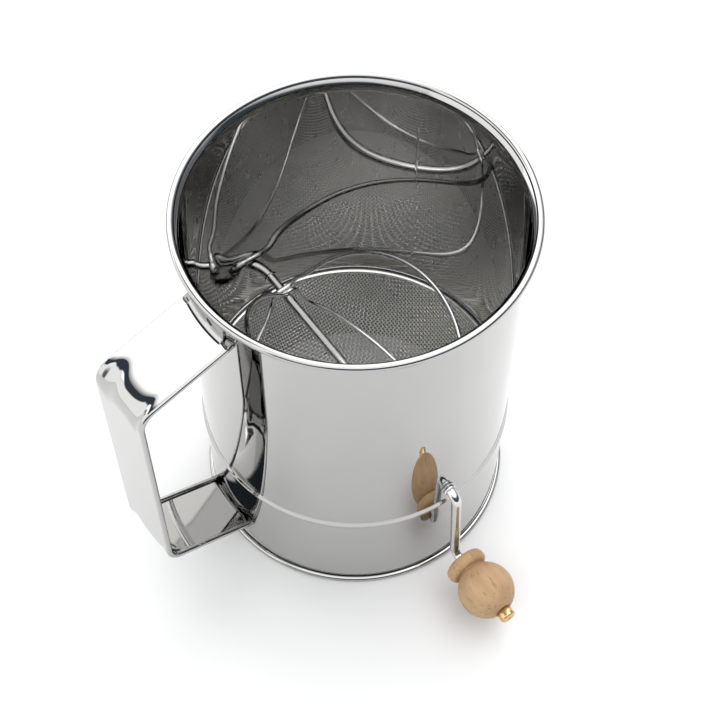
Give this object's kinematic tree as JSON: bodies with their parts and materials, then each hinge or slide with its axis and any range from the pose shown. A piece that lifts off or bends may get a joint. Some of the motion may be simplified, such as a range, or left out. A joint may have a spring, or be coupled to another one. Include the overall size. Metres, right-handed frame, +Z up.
{
  "type": "flour sifter",
  "caption": "Hand-crank flour sifter: sheet-steel can with a rolled rim, domed wire sieve, wire agitator on a bent crank rod, turned wooden knob and strap handle.",
  "frame": {"origin": "middle of the whole sifter's bounding box, crank and handle included, on the plane of the table; the can's own axis stands at x 18.03 mm, y 19.59 mm", "axes": "+Z up along the can's axis; the shaft runs along Y and the crank leaves the can on the -Y side; the handle points along -X"},
  "size_m": [0.166, 0.1712, 0.1662],
  "materials": {
    "polished_steel": "mirror-polished stainless sheet",
    "wire_steel": "bright drawn stainless wire",
    "sieve_mesh": "plain-woven stainless wire cloth",
    "weld_steel": "dark heat-tinted weld nugget",
    "beech": "fine-sanded unvarnished beech",
    "brass": "bright turned brass"
  },
  "bodies": {
    "can": {"can_body": "polished_steel", "rim_wire": "wire_steel", "base_wire": "wire_steel", "sieve_hoop": "wire_steel", "sieve_bowl": "sieve_mesh", "front_eyelet": "wire_steel", "rear_eyelet": "wire_steel", "handle_strap": "polished_steel", "handle_spot_welds": "weld_steel"},
    "crank": {"crank_rod": "wire_steel", "agitator_loop_a": "wire_steel", "agitator_loop_b": "wire_steel", "front_stop_collar": "wire_steel", "rear_end_cap": "wire_steel", "knob_nut": "brass"},
    "knob": {"knob": "beech"}
  },
  "joints": [
    {"name": "crank_spin", "type": "hinge", "parent": "can", "child": "crank", "pos_m": [0.01803, 0.01959, 0.0585], "axis": [0, -1, 0], "continuous": true},
    {"name": "knob_spin", "type": "hinge", "parent": "crank", "child": "knob", "pos_m": [0.01803, -0.06841, 0.0165], "axis": [0, -1, 0], "continuous": true}
  ]
}
